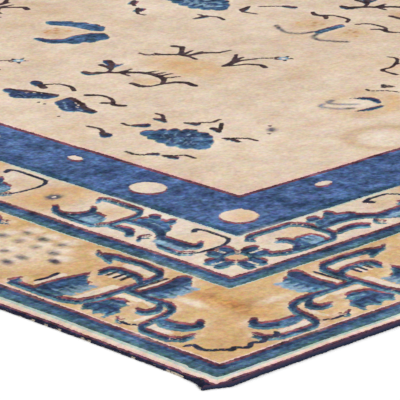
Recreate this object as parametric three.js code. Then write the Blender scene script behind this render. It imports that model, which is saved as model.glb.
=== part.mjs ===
// A hand-knotted wool rug with an overcast rim, lying flat on a floor.
// Millimetres, +Z up. The origin is under the middle of the rug, on the floor.

import * as THREE from "three";

// Driving dimensions
const LENGTH = 3150; // end to end, along X
const WIDTH = 2420; // side to side, along Y
const THICKNESS = 8; // foundation and pile together
const RIM_HEIGHT = 3.4; // how far the rim's rounding reaches up and down
const RIM_WIDTH = 4.5; // how far the rim's rounding reaches inwards
const RIM_STEPS = 2;
const CORNER_RADIUS = 16;
const CORNER_STEPS = 6;
const POINT_SPACING = 48; // along the straight edges

// The four edges, walked anticlockwise from the front left corner. Each one wanders
// in a few slow waves, as hand weaving does: height in millimetres, waves along the
// edge, and phase in turns. The ends wander more than the sides.
const EDGES = [
  { corner: "frontLeft", heading: 0, length: LENGTH, waves: [
    { height: 1.8, count: 4, phase: 0.62 }, { height: 1.0, count: 11, phase: 0.15 }] },
  { corner: "frontRight", heading: 90, length: WIDTH, waves: [
    { height: 3.0, count: 2, phase: 0.4 }, { height: 1.3, count: 9, phase: 0.7 }] },
  { corner: "backRight", heading: 180, length: LENGTH, waves: [
    { height: 2.0, count: 3, phase: 0.85 }, { height: 0.9, count: 10, phase: 0.3 }] },
  { corner: "backLeft", heading: 270, length: WIDTH, waves: [
    { height: 2.8, count: 2.5, phase: 0.2 }, { height: 1.4, count: 8, phase: 0.55 }] },
];

// Each corner is pulled a little out of square, and the pull fades over its reach.
const CORNERS = {
  frontLeft: { side: [-1, -1], pull: [-9, -3], reach: 34 },
  frontRight: { side: [1, -1], pull: [5, -4], reach: 60 },
  backRight: { side: [1, 1], pull: [6, 3], reach: 45 },
  backLeft: { side: [-1, 1], pull: [-4, 5], reach: 70 },
};

const WOOL_COLOUR = 0xdcc3a1;
const WOOL_ROUGHNESS = 0.95;

function unit(degrees) {
  const angle = THREE.MathUtils.degToRad(degrees);
  return new THREE.Vector2(Math.cos(angle), Math.sin(angle));
}

function cornerPoint({ side }) {
  return new THREE.Vector2((side[0] * LENGTH) / 2, (side[1] * WIDTH) / 2);
}

// Distance of an edge from its straight line, at a share of its length. It fades to
// nothing at both corners.
function wander(waves, share) {
  const fade = Math.sin(Math.PI * share);
  const sum = waves.reduce(
    (total, wave) => total + wave.height * Math.sin(2 * Math.PI * (wave.count * share + wave.phase)), 0);
  return fade * sum;
}

// A point moved by the pull of the corners near it.
function pulled(point) {
  const moved = point.clone();
  for (const corner of Object.values(CORNERS)) {
    const distance = point.distanceTo(cornerPoint(corner));
    const strength = Math.exp(-((distance / corner.reach) ** 2));
    moved.addScaledVector(new THREE.Vector2(...corner.pull), strength);
  }
  return moved;
}

// The rounded corner where an edge begins.
function cornerArc({ corner, heading }) {
  const before = unit(heading - 180);
  const after = unit(heading - 90);
  const centre = cornerPoint(CORNERS[corner])
    .addScaledVector(before, -CORNER_RADIUS)
    .addScaledVector(after, -CORNER_RADIUS);
  const points = [];
  for (let step = 0; step <= CORNER_STEPS; step += 1) {
    const direction = unit(heading - 180 + (90 * step) / CORNER_STEPS);
    points.push(centre.clone().addScaledVector(direction, CORNER_RADIUS));
  }
  return points;
}

// The points along an edge, between its two rounded corners.
function edgePoints({ corner, heading, length, waves }) {
  const start = cornerPoint(CORNERS[corner]);
  const along = unit(heading);
  const outward = unit(heading - 90);
  const straight = length - 2 * CORNER_RADIUS;
  const count = Math.round(straight / POINT_SPACING);
  const points = [];
  for (let step = 1; step < count; step += 1) {
    const distance = CORNER_RADIUS + (straight * step) / count;
    const point = start.clone().addScaledVector(along, distance);
    points.push(point.addScaledVector(outward, wander(waves, distance / length)));
  }
  return points;
}

function rugOutline() {
  const points = EDGES.flatMap((edge) => [...cornerArc(edge), ...edgePoints(edge)]);
  return new THREE.Shape(points.map(pulled));
}

// The slab, with its outline's box centred on the origin and its underside on the floor.
function rugGeometry() {
  const geometry = new THREE.ExtrudeGeometry(rugOutline(), {
    depth: THICKNESS - 2 * RIM_HEIGHT,
    bevelThickness: RIM_HEIGHT,
    bevelSize: RIM_WIDTH,
    bevelOffset: -RIM_WIDTH,
    bevelSegments: RIM_STEPS,
  });
  geometry.center();
  geometry.translate(0, 0, THICKNESS / 2);
  return geometry;
}

function makeRug() {
  const material = new THREE.MeshStandardMaterial({
    color: WOOL_COLOUR, roughness: WOOL_ROUGHNESS, metalness: 0 });
  const mesh = new THREE.Mesh(rugGeometry(), material);
  mesh.name = "rug";
  return mesh;
}

const part = new THREE.Group();
part.add(makeRug());

export default part;
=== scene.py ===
import math

import bpy
import numpy as np
from mathutils import Matrix, Vector


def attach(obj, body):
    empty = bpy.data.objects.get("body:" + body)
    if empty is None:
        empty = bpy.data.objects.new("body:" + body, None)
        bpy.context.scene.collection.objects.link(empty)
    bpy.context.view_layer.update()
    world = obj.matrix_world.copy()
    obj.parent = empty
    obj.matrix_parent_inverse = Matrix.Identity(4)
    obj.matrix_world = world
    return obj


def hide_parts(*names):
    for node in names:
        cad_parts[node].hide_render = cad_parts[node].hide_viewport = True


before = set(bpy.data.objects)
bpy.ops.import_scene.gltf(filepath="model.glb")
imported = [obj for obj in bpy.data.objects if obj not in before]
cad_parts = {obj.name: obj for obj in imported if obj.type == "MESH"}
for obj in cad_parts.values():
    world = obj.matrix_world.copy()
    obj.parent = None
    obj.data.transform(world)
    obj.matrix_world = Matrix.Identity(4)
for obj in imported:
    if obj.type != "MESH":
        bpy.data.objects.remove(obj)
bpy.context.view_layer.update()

# Sizes of the rug. The design is drawn in millimetres from its front left corner.
MM = 0.001
LENGTH = 3150.0
WIDTH = 2420.0
COLUMNS = 716
ROWS = 550
SECTIONS = 5
KNOT = LENGTH / COLUMNS
# Heights of the pile, and of its outermost knots from the edge inwards
PILE_TOP = 7.65
SIDE_FALL = (4.3, 6.5, 7.4, PILE_TOP)
END_FALL = (2.7, 4.9, 6.5, 7.3, PILE_TOP)
# How far the pile stays inside the outline
SIDE_INSET = 2.6
END_INSET = 1.0
FOUNDATION_LOW = 0.15
FOUNDATION_TOP = 2.5
FOUNDATION_GRID = (64, 50)
# Width and height of the overcast rim
SIDE_RIM = (5.2, 5.4)
END_RIM = (3.4, 2.5)
STITCH = 5.5
# The four corners, as ways from the middle and as corners of a unit square
WAYS = ((-1, -1), (1, -1), (1, 1), (-1, 1))
QUAD = ((0, 0), (1, 0), (1, 1), (0, 1))
FAR = 1000.0
TINY = 1e-9

# Where the border's stripes begin, in millimetres from the edge
SCROLL_IN = 40.3
SCROLL_OUT = 205.2
VINE_IN = 231.8
VINE_OUT = 332.4
FIELD_IN = 445.4

# Yarn colours as they show in plain light, from 0 to 255
YARNS = {
    "edge": (42, 46, 68),
    "maroon": (112, 70, 84),
    "ivory": (230, 212, 194),
    "ground": (226, 208, 189),
    "blush": (234, 198, 184),
    "haze": (187, 202, 192),
    "moss": (77, 108, 116),
    "teal": (79, 111, 138),
    "rose": (136, 78, 86),
    "mist": (92, 132, 146),
    "navy": (55, 69, 100),
    "guard": (60, 80, 114),
    "gold": (214, 176, 128),
    "band": (77, 101, 145),
    "band_edge": (59, 87, 116),
    "field": (226, 204, 181),
    "blue": (68, 97, 132),
    "sky": (132, 163, 184),
    "twig": (76, 60, 63),
    "thread": (56, 56, 74),
    "stain": (214, 172, 122),
    "rust": (196, 142, 88),
    "cream": (238, 220, 200),
    "grey": (98, 93, 100),
    "cotton": (222, 208, 186),
}
LIGHT_ON_FLOOR = 1.15

# Ground colour of each stripe, outermost first, with the inset where it begins
STRIPES = [
    (0.0, "edge"),
    (1.8, "maroon"),
    (3.5, "blush"),
    (5.6, "ivory"),
    (8.2, "haze"),
    (12.1, "moss"),
    (17.6, "teal"),
    (26.9, "guard"),
    (34.1, "maroon"),
    (SCROLL_IN, "blush"),
    (42.8, "gold"),
    (203.0, "haze"),
    (SCROLL_OUT, "moss"),
    (211.5, "teal"),
    (218.2, "guard"),
    (225.6, "maroon"),
    (VINE_IN, "blush"),
    (235.4, "ground"),
    (329.2, "haze"),
    (VINE_OUT, "band_edge"),
    (345.5, "band"),
    (438.0, "maroon"),
    (FIELD_IN, "blush"),
    (450.5, "field"),
]


def blend(rows, count, cell):
    """Rows of numbers spread out to one row for each knot, with soft steps between them."""
    spot = np.arange(count + 1) / cell
    low = spot.astype(int)
    share = (spot - low)[:, None]
    share = share * share * (3 - 2 * share)
    return rows[low] * (1 - share) + rows[low + 1] * share


def smooth_noise(cell, seed):
    """Soft random waves from -1 to 1 at each knot. cell is their size in knots."""
    draw = np.random.default_rng(seed)
    lattice = draw.uniform(-1, 1, (int(COLUMNS / cell) + 3, int(ROWS / cell) + 3))
    return blend(blend(lattice, COLUMNS, cell).T, ROWS, cell).T


# How far drawn lines stray, in millimetres
SLOW_STRAY = 1.6
QUICK_STRAY = 0.7


def strayed(flat, seed):
    """Places of the knots that wander in slow and quick waves, as hand work does."""
    return flat + SLOW_STRAY * smooth_noise(22, seed) + QUICK_STRAY * smooth_noise(6, seed + 1)


# The drawing: how far each knot is from the drawn yarns, and how much stain and painted shade it has
flat_a, flat_b = np.meshgrid(
    np.linspace(0, LENGTH, COLUMNS + 1), np.linspace(0, WIDTH, ROWS + 1), indexing="ij"
)
knot_a = strayed(flat_a, 11)
knot_b = strayed(flat_b, 13)
HARD_YARNS = ("ivory", "blue", "navy", "twig", "sky", "eye")
SOFT_YARNS = ("stain", "rust", "cream", "grey")
distance_to = {yarn: np.full(flat_a.shape, FAR) for yarn in HARD_YARNS}
amount_of = {yarn: np.zeros(flat_a.shape) for yarn in SOFT_YARNS}


class Place:
    """Where a motif goes: its origin on the rug and the directions of its own two axes. fit
    is a pair of lists that moves places along the first axis from one list to the other."""

    def __init__(self, origin, along=(1, 0), across=(0, 1), fit=None):
        self.origin = np.array(origin, float)
        self.axes = np.array([along, across], float)
        self.size = math.sqrt(abs(np.linalg.det(self.axes)))
        self.fit = fit

    def at(self, points):
        points = np.array(points, float)
        if self.fit:
            points[..., 0] = np.interp(points[..., 0], *self.fit)
        return self.origin + points @ self.axes

    def moved(self, offset, turn=0.0, mirror=1):
        c = math.cos(math.radians(turn))
        s = math.sin(math.radians(turn))
        axes = np.array([[c, s], [-s * mirror, c * mirror]]) @ self.axes
        return Place(self.at(offset), axes[0], axes[1])


CURVE_STEPS = 4


def curve(points, closed=False):
    """A smooth line through the points."""
    p = np.asarray(points, float)
    if closed:
        p = np.vstack([p[-1], p, p[0], p[1]])
    else:
        p = np.vstack([2 * p[0] - p[1], p, 2 * p[-1] - p[-2]])
    t = (np.arange(CURVE_STEPS) / CURVE_STEPS)[None, :, None]
    a, b, c, d = (p[k : len(p) - 3 + k][:, None, :] for k in range(4))
    line = 2 * b + (c - a) * t
    line = line + (2 * a - 5 * b + 4 * c - d) * t**2 + (3 * b - a - 3 * c + d) * t**3
    line = 0.5 * line.reshape(-1, 2)
    return line if closed else np.vstack([line, p[-2]])


def arc(size, first=0, last=360, step=30):
    """Points on a circle from one angle to another, in degrees."""
    angles = np.radians(np.arange(first, last, step))
    return size * np.stack([np.cos(angles), np.sin(angles)], 1)


def window(points, reach):
    """The part of the knot grid within reach of the points."""
    low = np.floor((points.min(0) - reach) / KNOT).astype(int)
    high = np.ceil((points.max(0) + reach) / KNOT).astype(int) + 1
    a = slice(max(low[0], 0), max(high[0], 0))
    b = slice(max(low[1], 0), max(high[1], 0))
    return a, b


REACH = 14.0
THINNEST = 3.8


def lay(yarn, part, distance):
    layer = distance_to[yarn][part]
    np.minimum(layer, distance, out=layer)


def from_segment(a, b, start, end):
    """Distances of knots from a straight line, and how far along it each one is nearest."""
    step = end - start
    length = max(step @ step, TINY)
    t = np.clip(((a - start[0]) * step[0] + (b - start[1]) * step[1]) / length, 0, 1)
    return np.hypot(a - start[0] - t * step[0], b - start[1] - t * step[1]), t


def stroke(yarn, place, points, width, smooth=True):
    """A line of yarn. width is one size, or one for each point."""
    line = place.at(curve(points) if smooth and len(points) > 2 else points)
    sizes = np.maximum(np.atleast_1d(np.asarray(width, float)) * place.size, THINNEST) / 2
    radius = np.interp(np.linspace(0, 1, len(line)), np.linspace(0, 1, len(sizes)), sizes)
    part = window(line, sizes.max() + REACH)
    nearest = FAR
    for k in range(len(line) - 1):
        gap, t = from_segment(knot_a[part], knot_b[part], line[k], line[k + 1])
        nearest = np.minimum(nearest, gap - radius[k] - t * (radius[k + 1] - radius[k]))
    lay(yarn, part, nearest)


def strokes(yarn, place, lines, smooth=True):
    """Lines of one yarn, each given by its points and its width."""
    for points, width in lines:
        stroke(yarn, place, points, width, smooth)


def patch(yarn, place, points, smooth=True):
    """A filled shape of yarn inside the points."""
    rim = place.at(curve(points, closed=True) if smooth else points)
    part = window(rim, REACH)
    a = knot_a[part]
    b = knot_b[part]
    nearest = FAR
    filled = False
    for start, end in zip(rim, np.roll(rim, -1, 0)):
        nearest = np.minimum(nearest, from_segment(a, b, start, end)[0])
        run, rise = end - start
        crosses = (start[1] > b) != (end[1] > b)
        filled ^= crosses & (a < start[0] + (b - start[1]) / (rise or TINY) * run)
    lay(yarn, part, np.where(filled, -nearest, nearest))


def disc(yarn, place, centre, wide, high=None):
    """A filled round or oval shape, by its half sizes."""
    patch(yarn, place, arc(1.0) * (wide, high or wide) + centre)


def discs(yarn, place, rounds):
    """Filled round shapes, each given by its middle and its half size."""
    for x, y, size in rounds:
        disc(yarn, place, (x, y), size)


def blush(yarn, place, centre, wide, high, strength=1.0, turn=0.0):
    """A soft stain of yarn that fades out, by its half sizes."""
    inner = place.moved(centre, turn)
    corners = inner.at([(2 * x * wide, 2 * y * high) for x, y in WAYS])
    part = window(corners, 0)
    offset = np.stack([knot_a[part], knot_b[part]], -1) - inner.origin
    local = offset @ np.linalg.inv(inner.axes)
    reach = (local[..., 0] / wide) ** 2 + (local[..., 1] / high) ** 2
    layer = amount_of[yarn][part]
    np.maximum(layer, strength * np.exp(-(reach**1.5)), out=layer)


def blushes(yarn, place, spots, size, strength=1.0):
    """Small round stains of one size."""
    for spot in spots:
        blush(yarn, place, spot, size, size, strength)


# Scroll border. One group runs from the joint between two groups (0) to the middle of
# the dotted ground (GROUP), and its second coordinate is the inset from the rug's edge.
GROUP = 359.5


def fret_scroll(place):
    """The U-shaped fret with a flame at its end and the hooked comb inside."""
    fret = [(270, 64), (272, 54), (228, 52), (182, 53.5), (164, 62), (158, 84), (157, 150), (160, 178),
            (172, 189), (205, 191.5), (242, 188.5)]
    comb = [(220, 141), (221, 156), (212, 161), (184, 161), (171, 158), (159, 150)]
    strokes("navy", place, [(fret, 7.5), (comb, 7.5)], False)
    strokes("navy", place, [
        ([(238, 189), (252, 187), (260, 182), (268, 181), (278, 185)], (7, 9, 8, 5, 4)),
        ([(262, 183), (251, 178), (240, 173)], (8, 9, 5)),
    ])
    for tooth in (207, 195, 184):
        stroke("ivory", place, [(tooth + 6, 139), (tooth + 6, 153)], 6)
        stroke("twig", place, [(tooth, 140), (tooth, 156)], 4)
    strokes("ivory", place, [([(168, 176), (216, 177)], 12), ([(173, 68), (172, 118)], 15)])


def scroll_leaf(place):
    """The jagged blue leaf inside the fret, dark at its tip and pale at its root."""
    patch("blue", place, [(236, 58), (238, 76), (236, 100), (231, 112), (226, 131), (219, 120), (210, 112),
        (204, 108), (197, 110), (194, 76), (198, 61), (212, 59)], False)
    stroke("navy", place, [(231, 62), (232, 84), (229, 108), (225, 126)], (7, 8, 8, 5))
    stroke("navy", place, [(217, 66), (213, 92)], (7, 5))
    stroke("twig", place, [(253, 74), (251, 88), (254, 106)], 5)
    stroke("ivory", place, [(246, 70), (246, 108)], 9)
    for across, length in ((72, 26), (84, 20), (95, 16), (105, 8)):
        stroke("sky", place, [(193 + length, across - 3), (188, across)], (5, 13))


def lower_leaves(place):
    """The leaves on the stem: a jagged one outside and a toothed bar inside."""
    patch("blue", place, [(154, 62), (148, 76), (146, 90), (130, 99), (116, 95), (122, 84), (108, 77),
        (110, 58), (120, 62), (128, 52), (138, 60), (147, 53)], False)
    stroke("navy", place, [(152, 60), (146, 72), (132, 74), (112, 74)], (5, 7, 8, 5))
    for along in (147, 130, 112):
        stroke("navy", place, [(along, 68), (along - 2, 54)], (7, 5))
    stroke("navy", place, [(142, 90), (124, 94)], 6)
    stroke("sky", place, [(134, 84), (122, 88)], 6)
    strokes("ivory", place, [([(150, 107), (118, 109)], 9), ([(143, 136), (141, 176)], 6)])
    stroke("twig", place, [(150, 132), (148, 178)], 4)
    patch("blue", place, [(130, 132), (130, 186), (116, 186), (109, 179), (104, 172), (105, 142), (110, 134)],
        False)
    stroke("navy", place, [(131, 131), (129, 160), (132, 188)], (13, 14, 19))
    for across in (142, 153, 164, 175):
        stroke("sky", place, [(116, across), (100, across + 1)], (5, 13))


def stem_and_hook(place):
    """The stem that leaves the fret, turns outwards and ends in a curl, with its half leaf."""
    stem = [(156, 123.5), (114, 123), (84, 123.5), (69, 117), (61, 100), (58, 77), (55, 60), (45, 52),
            (24, 51), (6, 53), (-7, 62), (-8, 77)]
    stroke("navy", place, stem, (8, 8, 8, 7.5, 7, 6, 7, 7.5, 7.5, 7, 7, 6), False)
    strokes("navy", place, [
        ([(95, 88), (84, 90), (80, 102), (87, 113), (95, 119)], (6, 9, 10, 7, 5)),
        ([(92, 58), (86, 52), (80, 57)], 4),
        ([(26, 85), (16, 90), (11, 102), (18, 110)], (13, 13, 11, 8)),
    ])
    stroke("twig", place, [(82, 54), (70, 53), (60, 60)], 4)
    stroke("blue", place, [(54, 86), (42, 83), (30, 84), (20, 90)], (9, 15, 16, 13))
    stroke("sky", place, [(40, 80), (28, 82)], 6)
    strokes("ivory", place, [
        ([(50, 68), (34, 64), (16, 66)], (9, 13, 8)),
        ([(76, 100), (70, 84), (72, 66)], (6, 8, 5)),
        ([(112, 113), (94, 108)], 6),
    ])
    blush("cream", place, (72, 145), 26, 8, 0.8)


# Insets of the dots' rows, with their distances from the middle of the dotted ground
DOTS = ((94, (33,)), (115, (0, 33)), (130, (71,)), (149, (16, 48)), (174, (0, 32)))


def dotted_ground(place):
    """Half of the cream ground with staggered grey dots."""
    blush("cream", place, (GROUP - 14, 122), 60, 52, 0.62)
    for across, offsets in DOTS:
        for offset in offsets:
            along = GROUP - offset
            wander = math.sin(0.7 * across + 0.5 * offset)
            size = 9.5 + 2 * wander
            blush("cream", place, (along, across + 12), 15, 11)
            blush("grey", place, (along, across - wander), size, 6.5, 0.9 + 0.2 * wander, 25 * wander)


def scroll_group(place):
    fret_scroll(place)
    scroll_leaf(place)
    lower_leaves(place)
    stem_and_hook(place)
    dotted_ground(place)


# Vine border. One cell begins at the closed end of its U.
LINKED_DEPTH = 64
RINGED_DEPTH = 100


def vine_cup(place, depth, end, size, longer=0):
    """A U with cut corners, one arm ending in a leaf tip and the other in a small hook. end
    is the yarn of its closed end and size that line's width. The hook may reach longer."""
    hook = depth - 15 + longer
    arm = [(depth + 2, 260), (depth - 13, 250), (depth - 30, 246.5), (13, 246.5), (3, 257)]
    stroke("navy", place, arm, (8, 8, 7, 6, 5), False)
    strokes(end, place, [
        ([(13, 246.5), (3, 257), (0, 268), (0, 298), (4, 311), (13, 321)], size),
        ([(13, 321), (hook - 11, 322.5), (hook, 318), (hook - 5, 310)], (size, size, 6, 7)),
    ], False)
    blush("stain", place, (30, 292), 30, 24, 0.45)


def leaf_in_cup(place):
    """The leaf that stands in a cup, with a dark hook at its tip."""
    patch("blue", place, [(56, 250), (51, 262), (52, 272), (44, 279), (34, 277), (24, 275), (19, 262),
        (24, 250)])
    stroke("navy", place, [(72, 251), (60, 257), (54, 267), (55, 281), (64, 288)], (6, 8, 9, 8, 7))
    for along, across in ((42, 253), (33, 253), (25, 255)):
        stroke("sky", place, [(along, across), (along - 2, across + 19)], (10, 6))


def link_leaf(place):
    """The leaves that join one cup to the next."""
    strokes("sky", place, [([(68, 257), (24, 257)], 13), ([(128, 299), (96, 296)], 5)])
    stroke("blue", place, [(72, 264), (26, 265)], 9)
    patch("blue", place, [(146, 292), (142, 306), (128, 308), (118, 314), (100, 306), (88, 298), (92, 286),
        (120, 288)])
    strokes("navy", place, [
        ([(76, 270), (26, 271), (20, 280), (25, 288)], (8, 10, 9, 6)),
        ([(157, 284), (122, 289), (94, 285), (74, 271)], (7, 10, 12, 9)),
        ([(151, 259), (123, 262), (110, 253)], (6, 10, 11)),
        ([(86, 246), (92, 254), (86, 263)], 5),
    ])
    disc("navy", place, (137, 315), 9, 7)
    disc("navy", place, (109, 316), 6, 9)


def vine_cell(place, linked, *closed_end):
    if linked:
        vine_cup(place, LINKED_DEPTH, *closed_end)
        link_leaf(place)
    else:
        vine_cup(place, RINGED_DEPTH, *closed_end)
        leaf_in_cup(place)
        blush("stain", place, (133, 284), 46, 70, 0.95)
        blush("grey", place, (133, 284), 11, 11, 1.4)
        disc("eye", place, (133, 284), 3.4)


def rosette(place):
    """Eight blue petals in pairs, dark at their rims, round a golden eye."""
    for turn in (0, 90, 180, 270):
        for mirror in (1, -1):
            half = place.moved((0, 0), turn, mirror)
            patch("blue", half, [(18, 2), (36, 2.5), (40, 9), (36, 15.5), (20, 14)])
            stroke("navy", half, [(19, 11), (30, 14), (37, 9)], (6, 5, 5))
            stroke("navy", half, [(19, 4), (29, 4)], (6, 4))
        stroke("eye", place.moved((0, 0), turn), [(21, 0), (37, 0)], 4)
    stroke("navy", place, arc(17.5, 0, 361, 45), 5)
    blush("stain", place, (0, 0), 16, 16, 0.9)


def corner_tendril(place):
    """The thin wavy tendril that joins two scroll groups round a corner, and the rust by it."""
    stroke("twig", place, [(51, 105), (59, 101), (55, 86), (60, 76), (70, 69), (77, 61), (83, 65), (94, 55),
                           (106, 62), (116, 56), (127, 63), (138, 58), (145, 67)], 5.5)
    blush("rust", place, (171, 172), 15, 62, 0.85)
    blush("rust", place, (195, 212), 22, 12, 0.5)


# Field motifs, each drawn round its own middle
def sprigs(place, rows):
    """Thin bent stalks, each with a small dark leaf of some thickness."""
    for stalk, leaf, sizes in rows:
        stroke("twig", place, stalk, 4.6, False)
        stroke("navy", place, leaf, sizes, False)
        stroke("twig", place, leaf, 4.4, False)


def bud(place):
    blush("grey", place, (0, 0), 10, 7, 1.1, 40)
    discs("twig", place, [(10, 15, 2.6), (-15, -11, 2.6)])


PEONY_PETALS = [(-15, 48, 12), (-22, 28, 10), (-25, 8, 10), (-26, -13, 11), (-21, -33, 11), (-9, -48, 13),
                (7, -40, 10), (17, -24, 11), (23, -6, 10), (21, 12, 11), (10, 28, 10), (-4, 37, 10)]
PEONY_TIPS = [(6, 44, 5.5), (16, 33, 6.5), (26, 19, 6.5), (32, 11, 5), (30, -11, 6.5), (25, -25, 6),
              (13, -40, 6)]
PEONY_VEINS = [
    [(-23, 2), (-14, 6), (-6, 0)],
    [(-24, -12), (-15, -8), (-7, -12)],
    [(-17, -25), (-9, -32), (1, -42)],
    [(-3, 10), (4, 17), (12, 18)],
    [(7, -10), (14, -17), (12, -27)],
    [(-10, 26), (-2, 29), (5, 34)],
    [(9, 4), (16, 2), (19, 9)],
    [(-18, 20), (-12, 16)],
    [(-12, -20), (-4, -24)],
    [(-2, -4), (4, -8)],
]
PEONY_SHADES = [
    [(-5, 24), (6, 10), (5, -8), (-7, -18), (1, -30)],
    [(-18, 40), (-12, 20), (-16, 2)],
    [(-20, -2), (-18, -20), (-8, -36)],
    [(14, 22), (18, 4), (14, -12)],
]
# Each sprig is its stalk, its leaf, and the leaf's thickness
PEONY_SPRIGS = [
    ([(-49, 131), (-45, 111), (-50, 98), (-59, 91)], [(-55, 97), (-60, 80)], (5, 17)),
    ([(-8, 109), (-10, 96), (-3, 87)], [(-6, 90), (6, 77)], (7, 14)),
    ([(53, 110), (53, 97), (46, 87), (38, 80)], [(34, 92), (38, 82), (35, 71)], (7, 11, 5)),
    ([(49, 48), (60, 34), (74, 23), (89, 26)], [(48, 48), (54, 30)], (4, 10)),
    ([(79, 11), (67, -1), (57, -11)], [(54, 3), (55, -8), (50, -18)], (7, 10, 5)),
    ([(34, -42), (46, -53), (55, -65), (56, -82)], [(35, -44), (38, -56), (37, -70)], (5, 9, 5)),
    ([(-70, -42), (-59, -55), (-49, -63), (-50, -82)], [(-71, -44), (-66, -56), (-66, -66)], (5, 11, 7)),
    ([(-91, 7), (-92, -10), (-87, -20), (-76, -26)], [(-79, -23), (-72, -31)], (7, 10)),
]
OTHER_SPRIGS = [
    ([(-61, 88), (-76, 76), (-82, 60)], [(-64, 83), (-78, 73)], (8, 10)),
    ([(-87, 47), (-102, 32), (-111, 20), (-109, 5)], [(-89, 38), (-101, 31)], (11, 11)),
    ([(-54, -52), (-56, -64), (-46, -86), (-52, -107)], [(-76, -67), (-56, -70)], (5, 11)),
    ([(28, -74), (6, -78), (-1, -92), (4, -116)], [(24, -76), (6, -84)], (5, 12)),
    ([(38, -86), (57, -104), (72, -130)], [(64, -112), (70, -130)], (8, 11)),
    ([(84, 30), (74, 12), (70, -10)], [(70, 2), (70, -10)], (5, 11)),
    ([(60, 96), (56, 76), (44, 62)], [(52, 72), (44, 62)], (5, 11)),
]


def bloom(place, pale):
    """A blue flower with scalloped petals, dark shades between them and pale petal lines."""
    patch("blue", place, [(-16, 48), (-26, 10), (-24, -28), (-8, -50), (15, -32), (24, -2), (17, 22),
        (-2, 40)])
    discs("blue", place, PEONY_PETALS)
    discs("navy", place, PEONY_TIPS)
    strokes("navy", place, [(shade, (6, 12, 8)) for shade in PEONY_SHADES])
    strokes("sky", place, [(vein, pale) for vein in PEONY_VEINS])


def peony(place):
    bloom(place, 5.2)
    sprigs(place, PEONY_SPRIGS)
    bud(place.moved((103, -60)))


def other_peony(place):
    bloom(place, 9)
    sprigs(place, OTHER_SPRIGS)


UPPER_WING = [(-11, 97), (-2, 92), (0, 79), (9, 65), (12, 47), (18, 29), (23, 15), (16, 10), (-2, 13),
              (-7, 24), (-18, 36), (-27, 52), (-25, 67), (-16, 72), (-17, 86)]
LOWER_WING = [(-7, -8), (23, -5), (26, -12), (20, -35), (18, -48), (11, -58), (7, -67), (5, -92), (-7, -90),
              (-9, -71), (-20, -60), (-23, -48), (-16, -30), (-11, -23)]


def navy_butterfly(place):
    """Two dark jagged wings apart, with white spots and curled feelers."""
    patch("navy", place, UPPER_WING, False)
    patch("navy", place, LOWER_WING, False)
    patch("navy", place, [(31, 74), (37, 96), (46, 97), (48, 84), (42, 74)])
    strokes("sky", place, [
        ([(-20, 52), (-10, 36), (2, 20)], 4.4),
        ([(-12, 66), (-8, 50)], 4.4),
        ([(-16, -48), (-6, -34), (4, -16)], 4.4),
        ([(-4, -74), (-6, -60)], 4.4),
    ])
    for spot in ((6, 50), (10, 40), (0, 58), (8, -44), (0, -52), (12, -34)):
        disc("eye", place, spot, 2.7)
    discs("twig", place, [(-20, 7, 2.4), (-20, -6, 2.4), (-45, -68, 2.4)])
    blush("stain", place, (6, 2), 18, 5, 0.5)
    strokes("twig", place, [
        ([(-3, 88), (5, 62), (15, 34), (19, 16)], (4, 7, 6, 7)),
        ([(22, -10), (15, -42), (5, -62), (2, -88)], (7, 6, 7, 5)),
        ([(36, 79), (44, 71), (57, 60), (60, 38), (50, 16)], (4, 5, 5, 5, 6)),
        ([(38, 76), (32, 60)], (8, 11)),
        ([(48, -14), (60, -29), (59, -52), (47, -70), (38, -60)], (9, 5, 5, 5, 8)),
        ([(46, -70), (42, -80), (48, -92)], (5, 8, 9)),
    ])


BIG_TWIG = [(-24, 60), (-8, 44), (0, 33), (17, 17), (25, -4), (22, -30), (14, -42), (0, -54), (-18, -52),
            (-28, -38), (-27, -20)]
BIG_TWIG_THORNS = [
    [(2, 38), (22, 38)],
    [(-2, 30), (-4, 12)],
    [(24, 8), (41, 2)],
    [(26, -8), (44, -11)],
    [(26, -20), (46, -23)],
    [(24, -34), (42, -42)],
    [(-30, -44), (-18, -52)],
    [(4, 28), (12, 36)],
]


def big_twig(place):
    """A bent thorny twig with a bud and a fingered leaf."""
    stroke("twig", place, BIG_TWIG, (9, 8, 9, 9, 9, 9, 7, 5, 5, 8, 8), False)
    stroke("twig", place, [(0, -54), (18, -61), (27, -74), (24, -96)], (6, 9, 9, 8), False)
    strokes("twig", place, [(thorn, (5, 4)) for thorn in BIG_TWIG_THORNS])
    strokes("twig", place, [
        ([(-32, 76), (-31, 62), (-20, 54)], (7, 9, 8)),
        ([(-14, 48), (4, 60), (12, 70)], 5),
        ([(6, 66), (8, 88)], (6, 8)),
        ([(16, 72), (31, 96)], (6, 7)),
    ])
    strokes("navy", place, [
        ([(-34, 78), (-34, 62), (-20, 54)], (8, 13, 8)),
        ([(4, 64), (18, 76), (26, 98)], (8, 13, 11)),
        ([(10, 66), (34, 68)], (8, 4)),
    ])


def small_twig(place):
    """A forked twig with a clubbed end."""
    strokes("twig", place, [
        ([(-39, 52), (-39, 36), (-20, 20), (-3, 3), (-3, -20), (-6, -36)], (4, 5, 6, 6, 5, 4)),
        ([(-3, 3), (12, 16), (26, 30), (20, 45)], (6, 6, 8, 9)),
        ([(0, 0), (23, 6)], (6, 4)),
        ([(-2, -9), (24, -16), (40, -32), (61, -33)], (7, 8, 5, 4)),
        ([(8, -10), (28, -10)], (5, 4)),
        ([(-24, 34), (-20, 20)], 5),
    ], False)


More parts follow.
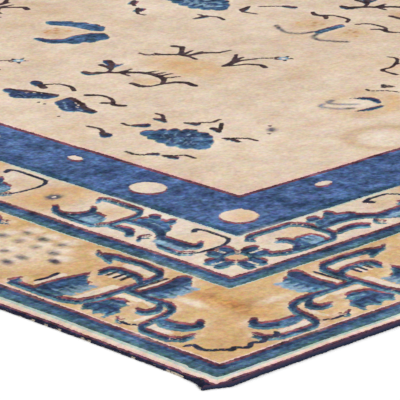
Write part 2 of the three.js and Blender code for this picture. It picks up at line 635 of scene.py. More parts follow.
def star_twig(place):
    """A combed twig with a small star flower."""
    stroke("twig", place, [(-21, -2), (6, 9), (34, 32)], (4, 5, 4))
    strokes("twig", place, [
        ([(-21, -2), (14, 4), (42, -9), (60, -26)], (7, 6, 4, 4)),
        ([(4, 8), (30, 14)], (5, 4)),
        ([(-15, -6), (8, -17), (18, -37), (13, -50)], (5, 6, 7, 8)),
        ([(-2, 2), (16, 18)], 4),
    ], False)
    star = place.moved((64, -34))
    for tip in arc(13, 90, 450, 72):
        stroke("twig", star, [(0, 0), tip], (5, 3))
    disc("sky", star, (0, 0), 9)
    disc("eye", star, (0, 0), 3.8)


def twig_spray(place):
    """Three twigs round a golden stain."""
    blush("stain", place, (-15, -2), 38, 76, 0.85)
    blush("stain", place, (-2, -40), 30, 30, 0.6)
    blush("stain", place, (-106, -21), 16, 20, 0.7)
    big_twig(place.moved((-98, 7)))
    small_twig(place.moved((27, 51)))
    star_twig(place.moved((44, -38)))


def bent_spray(place):
    """A bent twig and two others, without a stain."""
    strokes("twig", place, [
        ([(-103, 12), (-103, 31), (-97, 45), (-80, 45), (-64, 53), (-50, 63), (-42, 74), (-44, 88)],
         (6, 4, 5, 4, 3.4, 4, 4, 4)),
        ([(-104, 40), (-96, 46), (-84, 44)], 4),
        ([(-64, 53), (-54, 46)], 3.4),
    ])
    small_twig(place.moved((30, 40)))
    star_twig(place.moved((35, -30)))
    sprigs(place, [([(-40, -30), (-48, -46), (-62, -56)], [(-52, -50), (-62, -56)], (5, 10))])


def blue_butterfly(place):
    """Two blue wings round a golden spotted body."""
    patch("blue", place, [(-53, 10), (-57, -4), (-54, -34), (-40, -46), (-36, -58), (-16, -58), (-6, -66),
        (10, -68), (27, -58), (32, -42), (18, -26), (-8, -20), (-32, -24), (-44, -12)],
        False)
    patch("blue", place, [(24, 78), (13, 64), (17, 46), (28, 24), (31, -8), (40, -28), (52, -18), (54, 14),
        (45, 42), (34, 64)])
    discs("blue", place, [(50, -10, 9), (51, 8, 10), (46, 29, 10), (38, 50, 9), (-30, -50, 10), (-9, -60, 10),
        (13, -60, 11)])
    strokes("navy", place, [
        ([(-53, 8), (-52, -24), (-36, -36), (-10, -30), (18, -34)], (10, 14, 10, 9, 6)),
        ([(-16, -56), (-4, -46)], 5),
        ([(24, 72), (36, 46), (48, 14), (46, -16)], (6, 6, 7, 5)),
    ])
    strokes("sky", place, [([(24, 48), (34, 20), (37, -12)], 4), ([(-40, -34), (-18, -46), (10, -54)], 4)])
    blush("stain", place, (-12, 20), 28, 26, 0.5)
    blushes("rust", place, [(-22, 26), (-12, 32), (-4, 24), (6, 8), (-14, 12), (4, 34)], 4)


def gold_butterfly(place):
    """Golden spotted wings on both sides of a short blue body."""
    stroke("blue", place, [(-24, 0), (26, 2)], 11)
    for edge in (-5, 4):
        stroke("navy", place, [(-26, edge), (26, edge + 2)], 5)
    for x in (-18, -6, 6, 18):
        stroke("sky", place, [(x, -3), (x + 2, 4)], 4)
    for mirror in (1, -1):
        half = place.moved((0, 0), mirror=mirror)
        blush("stain", half, (4, 42), 36, 40, 0.5)
        blushes("rust", half, [(-6, 62), (12, 42), (14, 28), (0, 34)], 4)
        blushes("grey", half, curve([(-38, 74), (-50, 50), (-55, 30), (-44, 12), (-26, 6)]), 4.4)
        stroke("twig", half, [(54, 92), (46, 78), (50, 60), (40, 48)], (5, 8, 8, 5))
        stroke("twig", half, [(48, 68), (60, 58), (63, 40), (60, 20), (46, 10)], 5)


FAINT_RING = 48
FEELERS = [
    [(-33, 35), (-43, 29), (-42, 16), (-33, 0), (-20, -10)],
    [(-12, 37), (-22, 36), (-22, 24), (-12, 8), (-3, 0)],
]


def ivory_butterfly(place):
    """A pale little butterfly with grey feelers and dark wing edges, in a faint ring of stain."""
    ring = place.moved((0, 0), -45)
    for x, y in arc(FAINT_RING):
        blush("stain", ring, (x, y), 20, 20, 0.45 + 0.3 * x / FAINT_RING)
    blush("cream", place, (0, 2), 26, 24, 0.9)
    stroke("navy", place, [(12, 27), (23, 14), (28, 0), (22, -17)], (4, 9, 11, 6))
    stroke("navy", place, [(-29, -24), (-8, -30), (13, -32)], (4, 9, 6))
    for feeler in FEELERS:
        stroke("sky", place, feeler, 4.4)
        blushes("grey", place, curve(feeler), 4.5, 0.75)
    stroke("twig", place, [(59, 43), (57, 33), (70, 20), (76, 2)], 3.4)
    stroke("twig", place, [(90, 45), (80, 33), (92, 25), (90, 45)], 3.4, False)


MOTIFS = {
    "P": peony,
    "Q": other_peony,
    "N": navy_butterfly,
    "T": twig_spray,
    "S": bent_spray,
    "B": blue_butterfly,
    "G": gold_butterfly,
    "I": ivory_butterfly,
}
# The field's motifs in rows from the front, each row from the left
FIELD_ROWS = ["PISBPBSIP", "NTGTNTGTN", "SBQBTBQBS", "NTGTNTGTN", "PISBPBSIP"]
NUDGE = {"I": (12, -55), "G": (14, 0), "B": (-3, 7)}
FIRST_COLUMN = 560.0
FIRST_ROW = 684.0


def draw_field():
    """The motifs in rows and columns, turned over past the middle of the field."""
    columns = np.linspace(FIRST_COLUMN, LENGTH - FIRST_COLUMN, len(FIELD_ROWS[0]))
    rows = np.linspace(FIRST_ROW, WIDTH - FIRST_ROW, len(FIELD_ROWS))
    for row, kinds in enumerate(FIELD_ROWS):
        for column, kind in enumerate(kinds):
            along = (1, 0) if column <= len(kinds) // 2 else (-1, 0)
            across = (0, 1) if row <= len(FIELD_ROWS) // 2 else (0, -1)
            place = Place((columns[column], rows[row]), along, across)
            MOTIFS[kind](place.moved(NUDGE.get(kind, (0, 0))))


# The sides of the rug: the corner each begins at, walked clockwise from above, its
# direction, the way to the middle, its length, and whether it is an end
SIDES = [
    ((0, 0), (0, 1), (1, 0), WIDTH, True),
    ((0, WIDTH), (1, 0), (0, -1), LENGTH, False),
    ((LENGTH, WIDTH), (0, -1), (-1, 0), WIDTH, True),
    ((LENGTH, 0), (-1, 0), (0, 1), LENGTH, False),
]
# How many scrolls an end and a side have, and where the first one's middle is
SCROLLS_ON_END = (3, 489.5)
SCROLLS_ON_SIDE = (4, 497.0)
# Places along a group, and where they lie on a side, whose scrolls are spread a little
SIDE_FIT = ([-20, 0, 157.5, 285, GROUP], [-26, -6, 182, 294, GROUP])


def on_side(side, spot, stretch=1.0, fit=None):
    """A place at the edge of a side, at a distance from its first corner."""
    corner, along, across = (np.array(part, float) for part in side[:3])
    return Place(corner + along * spot, along * stretch, across, fit)


def draw_scrolls():
    for side in SIDES:
        length, end = side[3:]
        count, first = SCROLLS_ON_END if end else SCROLLS_ON_SIDE
        middles = np.linspace(first, length - first, count)
        half = (middles[1] - middles[0]) / 2
        for middle in middles:
            for way in (1, -1):
                stretch = way * half / GROUP
                scroll_group(on_side(side, middle - way * half, stretch, None if end else SIDE_FIT))


# Cells of the vine in order, L with a link of leaves and R with a ring after its cup
VINE_CELLS_ON_END = "LRRLRLRRLR"
VINE_CELLS_ON_SIDE = "RLRLRRLRLRRLRL"
VINE_LENGTHS = {"L": 156.0, "R": 179.0}
FIRST_CUP = 322.0
LAST_CUP = 418.0
# The closed end of a cup: its yarn, its line's width, and how much longer its hook is
FIRST_END = ("twig", 4.4, 17)
THIN_END = ("twig", 4.4)
THICK_END = ("navy", 6.5)
LAST_END = ("navy", 7)


def draw_vine():
    """The vine on each side. A cup's closed end is thick after a link and thin after a ring,
    apart from the first and the last cup, which have their own."""
    for side in SIDES:
        length, end = side[3:]
        cells = VINE_CELLS_ON_END if end else VINE_CELLS_ON_SIDE
        stretch = (length - FIRST_CUP - LAST_CUP) / sum(VINE_LENGTHS[cell] for cell in cells)
        spot = FIRST_CUP
        closed_end = FIRST_END
        for cell in cells:
            vine_cell(on_side(side, spot, stretch), cell == "L", *closed_end)
            closed_end = THICK_END if cell == "L" else THIN_END
            spot += VINE_LENGTHS[cell] * stretch
        last = on_side(side, spot)
        vine_cup(last, RINGED_DEPTH, *LAST_END)
        leaf_in_cup(last)


# The pearls of the blue band: their kinds in order, and the middle and half sizes of each kind
PEARL_INSET = 387.0
PEARLS_ON_END = "BSBSBSBSB"
PEARLS_ON_SIDE = "SBSBSBSSBSBSBS"
PEARLS = {"B": ((0, 0), 25, 21.5), "S": ((0, 20), 12.5, 7.2)}


def draw_pearls():
    for side in SIDES:
        length, end = side[3:]
        kinds = PEARLS_ON_END if end else PEARLS_ON_SIDE
        spots = np.linspace(PEARL_INSET, length - PEARL_INSET, len(kinds) + 2)[1:-1]
        for spot, kind in zip(spots, kinds):
            disc("ivory", on_side(side, spot).moved((0, PEARL_INSET)), *PEARLS[kind])


def draw_corners():
    """The tendril, rosette and pearl in each corner."""
    for x, y in WAYS:
        place = Place(((1 + x) / 2 * LENGTH, (1 + y) / 2 * WIDTH), (-x, 0), (0, -y))
        corner_tendril(place)
        rosette(place.moved((282, 279)))
        pearl = place.moved((PEARL_INSET, PEARL_INSET))
        disc("ivory", pearl, (0, 0), 23.5, 24)
        patch("ivory", pearl, [(4, 23), (20.5, 20.5), (23, 4)], False)
        blush("stain", pearl, (2, -4), 26, 24, 0.6)


CLOUDS = 90
WATER_RING_MIDDLE = (738, 489)
WATER_RING = arc(50.0, 25, 242, 6.75)


def draw_stains_and_shade():
    """The middle of the field is painted a little greyer, a painted shade that darkens it. Clouds of tan
    are left in the field, and a pale spot with part of a ring round it."""
    # Painted shade: a faint grey laid over the middle of the field darkens it
    blush("grey", Place((LENGTH / 2, WIDTH / 2)), (0, 0), 1000, 750, 0.05)
    draw = np.random.default_rng(41)
    least = (FIELD_IN, FIELD_IN, 30, 20, 0.06)
    most = (LENGTH - FIELD_IN, WIDTH - FIELD_IN, 110, 60, 0.24)
    for a, b, wide, high, strength in draw.uniform(least, most, (CLOUDS, len(least))):
        blush("stain", Place((a, b)), (0, 0), wide, high, strength)
    ring = Place(WATER_RING_MIDDLE)
    blushes("stain", ring, WATER_RING, 11, 0.36)
    blushes("grey", ring, WATER_RING, 9, 0.1)
    blush("cream", ring, (-2, -2), 32, 34, 0.9)


draw_stains_and_shade()
draw_field()
draw_scrolls()
draw_vine()
draw_corners()
draw_pearls()


# What each knot carries for its material
def inside(distance):
    """1 well inside a shape, 0 well outside it, and half on its edge."""
    return np.clip(0.5 - distance / (2 * KNOT), 0, 1)


def shifted(layer, knots):
    """A layer moved by some knots towards the middle of the rug."""
    i = np.arange(COLUMNS + 1)
    j = np.arange(ROWS + 1)
    i = np.clip(i - knots * np.sign(COLUMNS / 2 - i).astype(int), 0, COLUMNS)
    j = np.clip(j - knots * np.sign(ROWS / 2 - j).astype(int), 0, ROWS)
    return layer[np.ix_(i, j)]


def between(low, high):
    return (knot_inset > low) & (knot_inset < high)


# Drawn lines have a rose rim on their inner side and a misty one on their outer side
knot_inset = np.minimum(np.minimum(knot_a, LENGTH - knot_a), np.minimum(knot_b, WIDTH - knot_b))
ink = np.minimum(distance_to["blue"], distance_to["navy"])
spread = np.interp(knot_inset, [SCROLL_OUT, VINE_IN, VINE_OUT, FIELD_IN], [1.0, 1.0, 0.95, 0.4])
rose = (1 - spread) * ink + spread * shifted(ink, 1)
mist = (1 - spread) * ink + spread * shifted(ink, -1)

# The ground is paler close to drawn lines
HALO_SHARE = 0.5
HALO_SIZE = 8.0
halo = HALO_SHARE * np.exp(-((np.maximum(ink, 0) / HALO_SIZE) ** 2))

# A pearl has a rose rim on its outer side
pearls = distance_to["ivory"]
crescents = np.maximum(shifted(pearls, -1), -pearls)
rose = np.where(between(VINE_OUT, FIELD_IN), crescents, rose)

# Blue stripes take no stain, except on a pearl
clean = between(0, SCROLL_IN) | between(SCROLL_OUT, VINE_IN) | between(VINE_OUT, FIELD_IN)
clean &= pearls > 0
for yarn in SOFT_YARNS:
    amount_of[yarn][clean] = 0
KNOT_COLOURS = {
    "cool": [inside(distance_to[yarn]) for yarn in ("blue", "navy", "sky")],
    "warm": [inside(distance_to[yarn]) for yarn in ("ivory", "twig", "eye")],
    "soft": [amount_of["stain"], amount_of["rust"], np.maximum(amount_of["cream"], halo)],
    "rims": [inside(rose), inside(mist), amount_of["grey"]],
}

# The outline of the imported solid, at its widest, in order round the rug. Each corner is drawn
# out to a small tuft along the end and cut straight across to the side.
EDGE_BAND = 60.0
CORNER_REACH = 40.0
TUFT = np.array([(-3.9, -32.0), (4.7, -14.6), (-26.0, 0.0)])


def solid_outline():
    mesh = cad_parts["rug"].data
    points = np.empty(len(mesh.vertices) * 3)
    mesh.vertices.foreach_get("co", points)
    points = points.reshape(-1, 3) / MM
    middle = (points[:, 2].min() + points[:, 2].max()) / 2
    ring = points[np.abs(points[:, 2] - middle) < 1.0][:, :2]
    ring = np.unique(ring.round(3), axis=0)
    for way in WAYS:
        away = np.hypot(*(ring - np.array(way) * (LENGTH / 2, WIDTH / 2)).T)
        tip = np.array(way) * np.abs(ring[away < CORNER_REACH]).max(0)
        ring = np.vstack([ring[away >= CORNER_REACH], tip + TUFT * way])
    return ring[np.argsort(np.arctan2(ring[:, 1] / WIDTH, ring[:, 0] / LENGTH))]


OUTLINE = solid_outline()
LOOP = np.vstack([OUTLINE, OUTLINE[:1]])
LOOP_LENGTHS = np.concatenate([[0], np.cumsum(np.hypot(*np.diff(LOOP, axis=0).T))])


def on_rug(a, b, end_inset, side_inset):
    """Places in the row frame, in millimetres, for places in the drawing. The outer band of
    the drawing stretches to the solid's outline, less the insets."""
    p = np.stack([np.ravel(a) - LENGTH / 2, np.ravel(b) - WIDTH / 2], 1)
    reach = np.array([LENGTH / 2 - EDGE_BAND, WIDTH / 2 - EDGE_BAND])
    foot = np.clip(p, -reach, reach)
    offset = p - foot
    depth = np.abs(offset).max(1)
    outer = depth > 1e-6
    ray = offset[outer] / depth[outer][:, None] * EDGE_BAND
    base = foot[outer]
    length = np.full(len(ray), FAR)
    for start, end in zip(LOOP[:-1], LOOP[1:]):
        side = end - start
        cross = ray[:, 0] * side[1] - ray[:, 1] * side[0]
        cross = np.where(np.abs(cross) < TINY, TINY, cross)
        gap = start - base
        out = (gap[:, 0] * side[1] - gap[:, 1] * side[0]) / cross
        share = (gap[:, 0] * ray[:, 1] - gap[:, 1] * ray[:, 0]) / cross
        meets = (share >= 0) & (share <= 1) & (out > 0)
        length = np.where(meets, np.minimum(length, out), length)
    inset = np.where(np.abs(ray[:, 0]) > np.abs(ray[:, 1]), end_inset, side_inset)
    length -= inset / np.hypot(ray[:, 0], ray[:, 1])
    p[outer] = base + ray * (length * depth[outer] / EDGE_BAND)[:, None]
    return p.reshape(np.shape(a) + (2,))


# Meshes
def new_object(name, data):
    """An object in the scene."""
    made = bpy.data.objects.new(name, data)
    bpy.context.scene.collection.objects.link(made)
    return made


def new_mesh(name, material, points, faces, corner_uvs, colours=None, values=None):
    """A smooth mesh object from arrays: points in millimetres, faces as rows of four, one
    bake place for each face corner, and what each point carries."""
    mesh = bpy.data.meshes.new(name)
    mesh.vertices.add(len(points))
    mesh.vertices.foreach_set("co", (points * MM).astype(np.float32).ravel())
    mesh.loops.add(faces.size)
    mesh.loops.foreach_set("vertex_index", faces.astype(np.int32).ravel())
    mesh.polygons.add(len(faces))
    mesh.polygons.foreach_set("loop_start", np.arange(0, faces.size, 4, dtype=np.int32))
    mesh.update(calc_edges=True)
    mesh.polygons.foreach_set("use_smooth", np.ones(len(faces), bool))
    uv = mesh.uv_layers.new(name="OFBake")
    uv.data.foreach_set("uv", corner_uvs.astype(np.float32).ravel())
    for key, channels in (colours or {}).items():
        layer = mesh.attributes.new(key, "FLOAT_COLOR", "POINT")
        stack = np.stack(list(channels) + [np.ones_like(channels[0])], -1)
        layer.data.foreach_set("color", stack.astype(np.float32).ravel())
    for key, channel in (values or {}).items():
        layer = mesh.attributes.new(key, "FLOAT", "POINT")
        layer.data.foreach_set("value", channel.astype(np.float32).ravel())
    mesh.materials.append(material)
    return new_object(name, mesh)


def grid_faces(wide, high, start=0):
    """Rows of four points for a grid of wide by high points."""
    index = np.arange(wide * high).reshape(wide, high) + start
    corners = [index[:-1, :-1], index[1:, :-1], index[1:, 1:], index[:-1, 1:]]
    return np.stack(corners, -1).reshape(-1, 4)


def grid_uvs(wide, high):
    u, v = np.meshgrid(np.linspace(0, 1, wide), np.linspace(0, 1, high), indexing="ij")
    return np.stack([u, v], -1).reshape(-1, 2)


# How uneven the pile is, in millimetres: over nine knots, over three, and from knot to knot
PILE_WAVES = 0.16
PILE_RIPPLES = 0.1
PILE_TUFTS = 0.16


def pile_surface():
    """The top of the pile at each knot: level, a little uneven, and falling at the edge."""
    draw = np.random.default_rng(21)
    places = on_rug(flat_a, flat_b, END_INSET, SIDE_INSET)
    i = np.arange(COLUMNS + 1)[:, None]
    j = np.arange(ROWS + 1)[None, :]
    from_end = np.minimum(i, COLUMNS - i)
    from_side = np.minimum(j, ROWS - j)
    end = np.interp(from_end, np.arange(len(END_FALL)), END_FALL)
    side = np.interp(from_side, np.arange(len(SIDE_FALL)), SIDE_FALL)
    uneven = PILE_WAVES * smooth_noise(9, 22) + PILE_RIPPLES * smooth_noise(3, 23)
    uneven += draw.uniform(-PILE_TUFTS, PILE_TUFTS, flat_a.shape)
    height = np.minimum(end, side) + uneven * (np.minimum(from_end, from_side) > 0)
    return np.concatenate([places, height[..., None]], -1)


# How much the stripes still wander at the edge, and how they pass into the tuft at a corner
CORNER_KNOTS = int(EDGE_BAND / KNOT)
EDGE_WANDER = 0.25
TUFT_SIZE = 22.0
TUFT_FOLLOW = 0.62
TUFT_SHARE = 0.08
TUFT_LIFT = 0.5
# How far the stripes at the ends lie further in than at the sides, by distance from the end
END_SHIFT = (
    (0, 4.4, 13, 35, 180, 204, 231, 300, 332, 442),
    (-0.5, 0.8, 1.9, 0, 0, -1.2, 0, 0, 1.8, -3.0),
)


def square_corners(surface):
    """The inset of each knot. Near a corner it is partly measured on the rug itself, so that
    the stripes stay nearly square there and the tuft beyond them is dark."""
    from_end = np.minimum(flat_a, LENGTH - flat_a)
    from_side = np.minimum(flat_b, WIDTH - flat_b)
    plain = np.minimum(from_end, from_side)
    wander = (knot_inset - plain) * np.clip(plain / EDGE_BAND, EDGE_WANDER, 1)
    drawn = np.minimum(from_end - np.interp(from_end, *END_SHIFT), from_side) + wander
    inset = drawn.copy()
    span = np.arange(CORNER_KNOTS + 1) * KNOT
    follow = TUFT_FOLLOW * np.exp(-((np.hypot(span[:, None], span[None, :]) / TUFT_SIZE) ** 2))
    foot = np.array([LENGTH, WIDTH]) / 2 - EDGE_BAND
    first = slice(0, CORNER_KNOTS + 1)
    last = slice(-1, -CORNER_KNOTS - 2, -1)
    for a in (first, last):
        for b in (first, last):
            part = np.abs(surface[a, b, :2])
            edge = np.array([part[0, -1, 0], part[-1, 0, 1]])
            square = (EDGE_BAND * (edge - part) / (edge - foot)).min(-1) + wander[a, b]
            square = np.where(square < 0, square * TUFT_SHARE + TUFT_LIFT, square)
            inset[a, b] = square + follow * (drawn[a, b] - square)
    return inset


def pile_pieces(material):
    surface = pile_surface()
    inset = square_corners(surface)
    cuts = np.linspace(0, COLUMNS, SECTIONS + 1).round().astype(int)
    pieces = []
    for number, (first, last) in enumerate(zip(cuts[:-1], cuts[1:]), 1):
        part = slice(first, last + 1)
        wide = last + 1 - first
        faces = grid_faces(wide, ROWS + 1)
        uvs = grid_uvs(wide, ROWS + 1)[faces]
        colours = {key: [c[part].ravel() for c in channels] for key, channels in KNOT_COLOURS.items()}
        values = {"inset": inset[part].ravel()}
        points = surface[part].reshape(-1, 3)
        pieces.append(new_mesh(f"pile_{number}", material, points, faces, uvs, colours, values))
    return pieces


def foundation_piece(material):
    """The woven cotton under the pile, a closed flat slab."""
    wide, high = FOUNDATION_GRID
    a, b = np.meshgrid(np.linspace(0, LENGTH, wide), np.linspace(0, WIDTH, high), indexing="ij")
    places = on_rug(a, b, END_INSET + 1, SIDE_INSET + 1).reshape(-1, 2)
    count = len(places)
    low = np.concatenate([places, np.full((count, 1), FOUNDATION_LOW)], 1)
    top = np.concatenate([places, np.full((count, 1), FOUNDATION_TOP)], 1)
    index = np.arange(count).reshape(wide, high)
    rim = np.concatenate([index[:-1, 0], index[-1, :-1], index[:0:-1, -1], index[0, :0:-1]])
    after = np.roll(rim, -1)
    walls = np.stack([rim, after, after + count, rim + count], 1)
    faces = np.concatenate([grid_faces(wide, high)[:, ::-1], grid_faces(wide, high, count), walls])
    uvs = grid_uvs(wide, high)
    uvs = np.concatenate([uvs * (0.48, 1), uvs * (0.48, 1) + (0.5, 0)])
    return new_mesh("foundation", material, np.concatenate([low, top]), faces, uvs[faces])


# The overcast rim: rings in a stitch, sides of the tube, strips of its bake places, and how
# worn and uneven the stitches are
RIM_STEPS = 3
RIM_SIDES = 8
RIM_STRIPS = 16
BARE_STITCHES = 0.16
BARE_SINK = 0.45
STITCH_SPREAD = 0.12
STITCH_ROUNDING = 0.13
STITCH_LIFT = 0.3
RIM_MARGIN = 1.05
END_RIM_INSET = 0.8
RIM_LOW = 0.1
CROWN = 0.7


def rim_path(count):
    """Points evenly spaced round the outline, the inward direction at each, and how far each
    lies along an end rather than a side."""
    spots = np.linspace(0, LOOP_LENGTHS[-1], count, endpoint=False)
    path = np.stack([np.interp(spots, LOOP_LENGTHS, LOOP[:, k]) for k in range(2)], 1)
    step = np.roll(path, -2, 0) - np.roll(path, 2, 0)
    step /= np.linalg.norm(step, axis=1)[:, None]
    return path, np.stack([-step[:, 1], step[:, 0]], 1), np.clip(np.abs(step[:, 1]) * 3 - 1, 0, 1)


def rim_faces(rings):
    """Faces of a closed tube of rings, and their bake places in strips."""
    r, k = np.meshgrid(np.arange(rings), np.arange(RIM_SIDES), indexing="ij")
    r1 = (r + 1) % rings
    k1 = (k + 1) % RIM_SIDES
    faces = np.stack([r * RIM_SIDES + k, r1 * RIM_SIDES + k, r1 * RIM_SIDES + k1, r * RIM_SIDES + k1], -1)
    per_strip = rings // RIM_STRIPS
    u = (r % per_strip) / per_strip
    v = (r // per_strip + k / RIM_SIDES) / RIM_STRIPS
    du = 1 / per_strip
    dv = 1 / (RIM_SIDES * RIM_STRIPS)
    uvs = np.stack([np.stack([u + x * du, v + y * dv], -1) for x, y in QUAD], 2)
    return faces.reshape(-1, 4), uvs.reshape(-1, 2)


def overcast_rim(material):
    """Navy wool wound round the edge in slanting stitches, with a few worn bare at the ends."""
    draw = np.random.default_rng(31)
    stitches = int(round(LOOP_LENGTHS[-1] / STITCH / RIM_STRIPS)) * RIM_STRIPS
    rings = stitches * RIM_STEPS
    path, inward, at_end = rim_path(rings)
    stitch = np.arange(rings) // RIM_STEPS
    worn = draw.uniform(0, 1, stitches) < BARE_STITCHES
    bare = worn[stitch] * at_end
    spread = draw.uniform(-STITCH_SPREAD, STITCH_SPREAD, stitches)[stitch]
    swell = 1 + spread * (1 + at_end) - BARE_SINK * bare
    wide, high = (side + at_end * (end - side) for side, end in zip(SIDE_RIM, END_RIM))
    turn = np.radians(np.arange(RIM_SIDES) * 360 / RIM_SIDES)[None, :]
    phase = 2 * np.pi * np.arange(rings)[:, None] / RIM_STEPS + turn
    size = swell[:, None] * (1 + STITCH_ROUNDING * np.cos(phase))
    lift = STITCH_LIFT * draw.uniform(-1, 1, stitches)[stitch][:, None]
    reach = wide[:, None] / 2 * (RIM_MARGIN - size * np.cos(turn)) + END_RIM_INSET * at_end[:, None]
    xy = path[:, None, :] + inward[:, None, :] * reach[..., None]
    z = np.maximum(high[:, None] / 2 * (1 + size * np.sin(turn)) + lift, RIM_LOW)
    points = np.concatenate([xy, z[..., None]], -1).reshape(-1, 3)
    crown = CROWN * np.clip(0.3 - 0.6 * np.cos(turn) + 0.6 * np.sin(turn), 0, 1)
    carried = {"bare": np.repeat(bare, RIM_SIDES), "crown": np.broadcast_to(crown, phase.shape)}
    return new_mesh("overcast_rim", material, points, *rim_faces(rings), values=carried)


# Materials
def linear(name, gain=1.0):
    """A yarn's colour as the renderer takes it, for the light on this floor."""
    values = np.array(YARNS[name]) / 255
    values = np.where(values <= 0.04045, values / 12.92, ((values + 0.055) / 1.055) ** 2.4)
    return tuple(np.clip(values * gain / LIGHT_ON_FLOOR, 0, 1)) + (1.0,)


class Shader:
    """A material under construction. Inputs are given by their sockets' names or numbers."""

    def __init__(self, name, roughness, gloss=0.02):
        self.material = bpy.data.materials.new(name)
        self.material.use_nodes = True
        self.tree = self.material.node_tree
        self.surface = self.tree.nodes["Principled BSDF"]
        self.feed(self.surface, {"Roughness": roughness, "Specular IOR Level": gloss})

    def feed(self, node, inputs):
        for key, value in inputs.items():
            if isinstance(value, bpy.types.NodeSocket):
                self.tree.links.new(value, node.inputs[key])
            else:
                node.inputs[key].default_value = value

    def node(self, kind, inputs, **settings):
        made = self.tree.nodes.new(kind)
        for key, value in settings.items():
            setattr(made, key, value)
        self.feed(made, inputs)
        return made.outputs

    def math(self, operation, first, second, clamp=False):
        return self.node("ShaderNodeMath", {0: first, 1: second}, operation=operation, use_clamp=clamp)[0]

    def mix(self, share, under, over, blend="MIX"):
        inputs = {0: share, 6: under, 7: over}
        return self.node("ShaderNodeMix", inputs, data_type="RGBA", blend_type=blend)[2]

    def noise(self, size_mm, detail=2.0, stretch=(1, 1, 1)):
        """Soft noise about 0.5, with lumps of that size. Its outputs are grey and coloured."""
        place = self.node("ShaderNodeTexCoord", {})["Object"]
        place = self.node("ShaderNodeMapping", {"Vector": place, "Scale": stretch})[0]
        inputs = {"Vector": place, "Scale": 1 / (size_mm * MM), "Detail": detail}
        return self.node("ShaderNodeTexNoise", inputs)

    def brightness(self, colour):
        return self.node("ShaderNodeRGBToBW", {0: colour})[0]

    def channels(self, attribute):
        colour = self.node("ShaderNodeAttribute", {}, attribute_name=attribute)["Color"]
        return self.node("ShaderNodeSeparateColor", {0: colour})[:3]

    def value(self, attribute):
        return self.node("ShaderNodeAttribute", {}, attribute_name=attribute)["Fac"]

    def soften(self, value, low, high):
        inputs = {"Value": value, "From Min": low, "From Max": high}
        return self.node("ShaderNodeMapRange", inputs, interpolation_type="SMOOTHSTEP")[0]

    def finish(self, colour, height, rise_mm):
        inputs = {"Strength": 1.0, "Distance": rise_mm * MM, "Height": height}
        bump = self.node("ShaderNodeBump", inputs)[0]
        self.feed(self.surface, {"Normal": bump, "Base Color": colour})
        return self.material


def stripe_colours(shader, inset):
    """The ground colours of the stripes by inset."""
    colour = linear(STRIPES[0][1])
    for start, name in STRIPES[1:]:
        colour = shader.mix(shader.math("GREATER_THAN", inset, start), colour, linear(name))
    return colour


# Lumps of the dye: their size in millimetres, their strength, and for those of all yarns
# whether they are grey (0) or coloured (1). Dark lumps show where a colour is below DARK.
DARK_LUMPS = ((45, 0.7), (16, 1.0), (6, 1.0))
LUMPS = ((240, 0.4, 0), (40, 0.5, 0), (14, 0.3, 1), (7, 0.5, 0), (3.2, 0.6, 1))
DARK = 0.45
# How ragged the edges of drawn shapes and of twigs are, in shares of a knot
RAGGED = 0.5
RAGGED_TWIG = 0.25
# How far the stripes wander in millimetres: at the rug's edge, and how much more further in
EDGE_RAGGED = 1.2
MORE_RAGGED = 2.8


def pile_material():
    """Knotted wool: stripes, then stains and a painted shade, then drawn yarns, then the unevenness of the
    dye.
    """
    shader = Shader("wool_pile", 1.0)
    wander = shader.math("SUBTRACT", shader.noise(4.0, 1.0)[0], 0.5)
    ragged = shader.math("MULTIPLY", wander, RAGGED)
    barely = shader.math("MULTIPLY", wander, RAGGED_TWIG)
    inset = shader.value("inset")
    more = shader.math("MULTIPLY", shader.soften(inset, 0, SCROLL_IN), MORE_RAGGED)
    stray = shader.math("MULTIPLY", wander, shader.math("ADD", EDGE_RAGGED, more))
    inset = shader.math("ADD", inset, stray)
    stain, rust, cream = shader.channels("soft")
    rose, mist, grey = shader.channels("rims")
    blue, navy, sky = shader.channels("cool")
    ivory, twig, eye = shader.channels("warm")
    pale = shader.soften(shader.math("ADD", ivory, ragged), 0.36, 0.64)
    colour = shader.mix(pale, stripe_colours(shader, inset), linear("ivory"))
    fade = shader.math("ADD", 0.5, shader.noise(14)[0])
    # Grey is the yarn of the dots and buds, and also a painted shade over the middle of the field
    for amount, name in ((cream, "cream"), (stain, "stain"), (rust, "rust"), (grey, "grey")):
        colour = shader.mix(shader.math("MULTIPLY", amount, fade, True), colour, linear(name))
    in_field = shader.soften(inset, VINE_OUT, FIELD_IN)
    line = shader.mix(in_field, linear("thread"), linear("twig"))
    # Each yarn begins to show at one share of a knot and covers it at the next
    for amount, yarn, low, high, edge in (
        (rose, linear("rose"), 0.3, 0.6, ragged),
        (mist, linear("mist"), 0.3, 0.6, ragged),
        (blue, linear("blue"), 0.48, 0.76, ragged),
        (navy, linear("navy"), 0.43, 0.69, ragged),
        (twig, line, 0.29, 0.53, barely),
        (sky, linear("sky"), 0.4, 0.9, ragged),
        (eye, linear("cream"), 0.36, 0.64, ragged),
    ):
        sharp = shader.soften(shader.math("ADD", amount, edge), low, high)
        colour = shader.mix(sharp, colour, yarn)
    depth = shader.soften(shader.math("SUBTRACT", DARK, shader.brightness(colour)), 0.0, 0.3)
    for size, strength in DARK_LUMPS:
        share = shader.math("MULTIPLY", depth, strength)
        colour = shader.mix(share, colour, shader.noise(size)[0], "OVERLAY")
    for size, strength, output in LUMPS:
        colour = shader.mix(strength, colour, shader.noise(size)[output], "SOFT_LIGHT")
    return shader.finish(colour, shader.noise(1.6)[0], 0.5)


def cotton_material():
    """The plain woven back."""
    shader = Shader("cotton_back", 0.95)
    weave = shader.noise(3.0, 1.0, (1.0, 0.4, 1.0))[0]
    colour = shader.mix(weave, linear("cotton", 0.8), linear("cotton"))
    return shader.finish(colour, weave, 0.4)


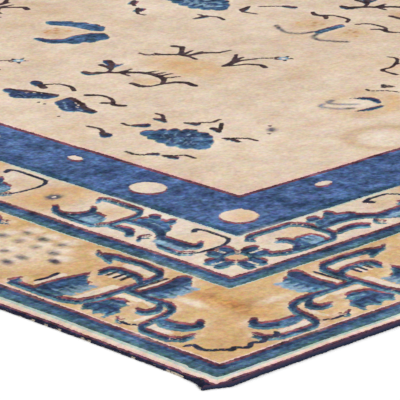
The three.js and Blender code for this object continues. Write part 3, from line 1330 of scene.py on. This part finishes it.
def rim_material():
    """Navy overcasting, maroon on top, with pale cotton where it is worn."""
    shader = Shader("navy_overcast", 0.95)
    fibre = shader.noise(2.5)[0]
    navy = shader.mix(fibre, linear("edge", 0.5), linear("navy", 0.8))
    colour = shader.mix(shader.value("crown"), navy, linear("maroon", 0.9))
    colour = shader.mix(shader.math("MULTIPLY", shader.value("bare"), 0.7), colour, linear("cotton"))
    return shader.finish(colour, fibre, 0.3)


# The rug
pile = pile_pieces(pile_material())
foundation = foundation_piece(cotton_material())
rim = overcast_rim(rim_material())
for piece in [foundation, rim] + pile:
    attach(piece, "root")
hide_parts("rug")

# Floor, light and camera, which stands where the photo was taken from
FLOOR_HALF = 60000.0
FLOOR_WHITE = (0.93, 0.93, 0.93, 1)
SKY_STRENGTH = 0.78
SUN_STRENGTH = 1.5
SUN_WIDTH = 20
SUN_TURN = (38, 12, -20)
EYE = Vector((-3.3985, -3.2627, 1.0700))
LOOK = Vector((0.6303, 0.7154, -0.3015))
RIGHT = Vector((0.7440, -0.6676, -0.0288))
LENS = 264.1


def floor_piece():
    shader = Shader("floor_white", 1.0, 0.0)
    shader.feed(shader.surface, {"Base Color": FLOOR_WHITE})
    corners = np.array([(x, y, 0) for x, y in WAYS]) * FLOOR_HALF
    return new_mesh("floor", shader.material, corners, np.array([[0, 1, 2, 3]]), np.array(QUAD))


def add_light():
    world = bpy.data.worlds.new("plain_light")
    bpy.context.scene.world = world
    world.use_nodes = True
    sky = world.node_tree.nodes["Background"]
    sky.inputs["Color"].default_value = (1, 1, 1, 1)
    sky.inputs["Strength"].default_value = SKY_STRENGTH
    sun = bpy.data.lights.new("sun", "SUN")
    sun.energy = SUN_STRENGTH
    sun.angle = math.radians(SUN_WIDTH)
    new_object("sun", sun).rotation_euler = [math.radians(angle) for angle in SUN_TURN]


def add_camera():
    camera = bpy.data.cameras.new("camera")
    camera.lens = LENS
    camera.sensor_width = 36.0
    camera.clip_end = 200.0
    eye = new_object("camera", camera)
    back = -LOOK.normalized()
    right = (RIGHT - back * RIGHT.dot(back)).normalized()
    turn = Matrix((right, back.cross(right), back)).transposed()
    eye.matrix_world = Matrix.Translation(EYE) @ turn.to_4x4()
    bpy.context.scene.camera = eye


floor_piece()
add_light()
add_camera()
bpy.context.scene.view_settings.view_transform = "Standard"
